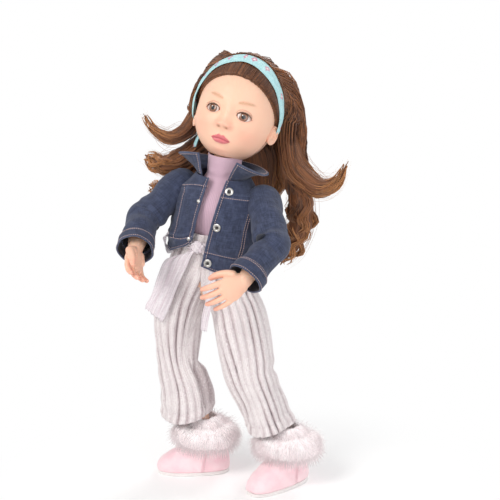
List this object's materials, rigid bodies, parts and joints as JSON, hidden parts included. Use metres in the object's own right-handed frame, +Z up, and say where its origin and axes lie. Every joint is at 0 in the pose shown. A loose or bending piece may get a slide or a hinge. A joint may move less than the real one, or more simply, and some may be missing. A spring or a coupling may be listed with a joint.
{
  "type": "play doll",
  "caption": "Standing vinyl play doll in mid stride, with turning head, jointed arms and legs, long hair, denim jacket, pleated trousers and fur-cuffed boots.",
  "frame": {"origin": "centre of the bounding box on the floor, under the doll's two soles", "axes": "+Z up; -Y the way the chest faces; +X towards the doll's left"},
  "size_m": [0.241, 0.2118, 0.4949],
  "materials": {
    "vinyl_skin": "satin",
    "eye_glaze": "gloss",
    "hair_fibre": "satin",
    "band_cloth": "matte",
    "knit_top": "matte",
    "denim": "matte",
    "snap_metal": "satin",
    "trouser_knit": "matte",
    "sash_voile": "satin",
    "boot_suede": "matte",
    "sole_rubber": "matte",
    "fur_pile": "matte",
    "pin_plastic": "satin"
  },
  "bodies": {
    "torso": {"torso_shell": "vinyl_skin", "high_neck_top": "knit_top", "jacket_body": "denim", "jacket_collar": "denim", "snap_1": "snap_metal", "snap_2": "snap_metal", "snap_3": "snap_metal", "stud_1": "snap_metal", "stud_2": "snap_metal", "trouser_seat": "trouser_knit", "sash_band": "sash_voile", "sash_knot": "sash_voile", "sash_tail_wide": "sash_voile", "sash_tail_narrow": "sash_voile"},
    "neck": {"neck_ball": "vinyl_skin"},
    "head": {"head_shell": "vinyl_skin", "eye_left": "eye_glaze", "eye_right": "eye_glaze", "wig_cap": "hair_fibre", "hair_crown": "hair_fibre", "headband": "band_cloth", "headband_knot": "band_cloth", "hair_back": "hair_fibre", "hair_right_upper": "hair_fibre", "hair_right_lower": "hair_fibre", "hair_right_curl": "hair_fibre", "hair_left_upper": "hair_fibre", "hair_left_lower": "hair_fibre"},
    "shoulder_right": {"shoulder_hub_right": "vinyl_skin"},
    "upper_arm_right": {"upper_arm_right": "vinyl_skin", "elbow_pin_right": "pin_plastic", "sleeve_upper_right": "denim"},
    "forearm_right": {"forearm_hand_right": "vinyl_skin", "sleeve_lower_right": "denim", "cuff_right": "denim"},
    "hip_right": {"hip_hub_right": "vinyl_skin"},
    "thigh_right": {"thigh_right": "vinyl_skin", "knee_pin_right": "pin_plastic", "trouser_upper_right": "trouser_knit"},
    "shin_right": {"shin_right": "vinyl_skin", "boot_right": "boot_suede", "sole_right": "sole_rubber", "fur_cuff_right": "fur_pile", "trouser_lower_right": "trouser_knit"},
    "shoulder_left": {"shoulder_hub_left": "vinyl_skin"},
    "upper_arm_left": {"upper_arm_left": "vinyl_skin", "elbow_pin_left": "pin_plastic", "sleeve_upper_left": "denim"},
    "forearm_left": {"forearm_hand_left": "vinyl_skin", "sleeve_lower_left": "denim", "cuff_left": "denim"},
    "hip_left": {"hip_hub_left": "vinyl_skin"},
    "thigh_left": {"thigh_left": "vinyl_skin", "knee_pin_left": "pin_plastic", "trouser_upper_left": "trouser_knit"},
    "shin_left": {"shin_left": "vinyl_skin", "boot_left": "boot_suede", "sole_left": "sole_rubber", "fur_cuff_left": "fur_pile", "trouser_lower_left": "trouser_knit"}
  },
  "joints": [
    {"name": "neck_turn", "type": "hinge", "parent": "torso", "child": "neck", "pos_m": [-0.00963, 0.0158, 0.36413], "axis": [0.1461, 0, 0.9893], "range_deg": [-40, 30], "deforming": ["hair_back", "hair_right_upper", "hair_right_lower", "hair_right_curl", "hair_left_upper", "hair_left_lower"]},
    {"name": "neck_nod", "type": "hinge", "parent": "neck", "child": "head", "pos_m": [-0.00817, 0.0158, 0.37402], "axis": [0.9771, 0.1564, -0.1443], "range_deg": [-8, 6]},
    {"name": "shoulder_swing_right", "type": "hinge", "parent": "torso", "child": "shoulder_right", "pos_m": [-0.06531, 0.0158, 0.34304], "axis": [0.9893, 0, -0.1461], "range_deg": [-40, 25], "deforming": ["jacket_body", "high_neck_top", "jacket_collar"]},
    {"name": "shoulder_raise_right", "type": "hinge", "parent": "shoulder_right", "child": "upper_arm_right", "pos_m": [-0.06531, 0.0158, 0.34304], "axis": [-0.1119, 0.6428, -0.7578], "range_deg": [-8, 30], "deforming": ["sleeve_upper_right"]},
    {"name": "elbow_right", "type": "hinge", "parent": "upper_arm_right", "child": "forearm_right", "pos_m": [-0.09227, -0.0244, 0.31293], "axis": [0.1636, 0.5188, -0.8391], "range_deg": [-25, 25], "deforming": ["sleeve_lower_right", "cuff_right"]},
    {"name": "hip_swing_right", "type": "hinge", "parent": "torso", "child": "hip_right", "pos_m": [-0.05548, 0.0158, 0.23848], "axis": [0.9893, 0, -0.1461], "range_deg": [-30, 20], "deforming": ["trouser_seat", "sash_band", "sash_knot", "sash_tail_wide", "sash_tail_narrow"]},
    {"name": "hip_spread_right", "type": "hinge", "parent": "hip_right", "child": "thigh_right", "pos_m": [-0.05548, 0.0158, 0.23848], "axis": [-0.0076, 0.9986, -0.0518], "range_deg": [-5, 15], "deforming": ["trouser_upper_right"]},
    {"name": "knee_right", "type": "hinge", "parent": "thigh_right", "child": "shin_right", "pos_m": [-0.06759, 0.01035, 0.13533], "axis": [0.3951, -0.9186, 0.0021], "range_deg": [-15, 24], "deforming": ["trouser_lower_right"]},
    {"name": "shoulder_swing_left", "type": "hinge", "parent": "torso", "child": "shoulder_left", "pos_m": [0.03758, 0.0158, 0.32785], "axis": [0.9893, 0, -0.1461], "range_deg": [-40, 20]},
    {"name": "shoulder_raise_left", "type": "hinge", "parent": "shoulder_left", "child": "upper_arm_left", "pos_m": [0.03758, 0.0158, 0.32785], "axis": [-0.1086, 0.6691, -0.7352], "range_deg": [-30, 8], "deforming": ["sleeve_upper_left"]},
    {"name": "elbow_left", "type": "hinge", "parent": "upper_arm_left", "child": "forearm_left", "pos_m": [0.06273, -0.02013, 0.29143], "axis": [0.2011, -0.6243, 0.7549], "range_deg": [-25, 25], "deforming": ["sleeve_lower_left", "cuff_left"]},
    {"name": "hip_swing_left", "type": "hinge", "parent": "torso", "child": "hip_left", "pos_m": [-0.00205, 0.0158, 0.23059], "axis": [0.9893, 0, -0.1461], "range_deg": [-30, 20]},
    {"name": "hip_spread_left", "type": "hinge", "parent": "hip_left", "child": "thigh_left", "pos_m": [-0.00205, 0.0158, 0.23059], "axis": [-0.0165, 0.9936, -0.112], "range_deg": [-12, 5], "deforming": ["trouser_upper_left"]},
    {"name": "knee_left", "type": "hinge", "parent": "thigh_left", "child": "shin_left", "pos_m": [0.02162, 0.00484, 0.12992], "axis": [0.83, -0.4988, 0.2495], "range_deg": [-15, 35], "deforming": ["trouser_lower_left"]}
  ]
}
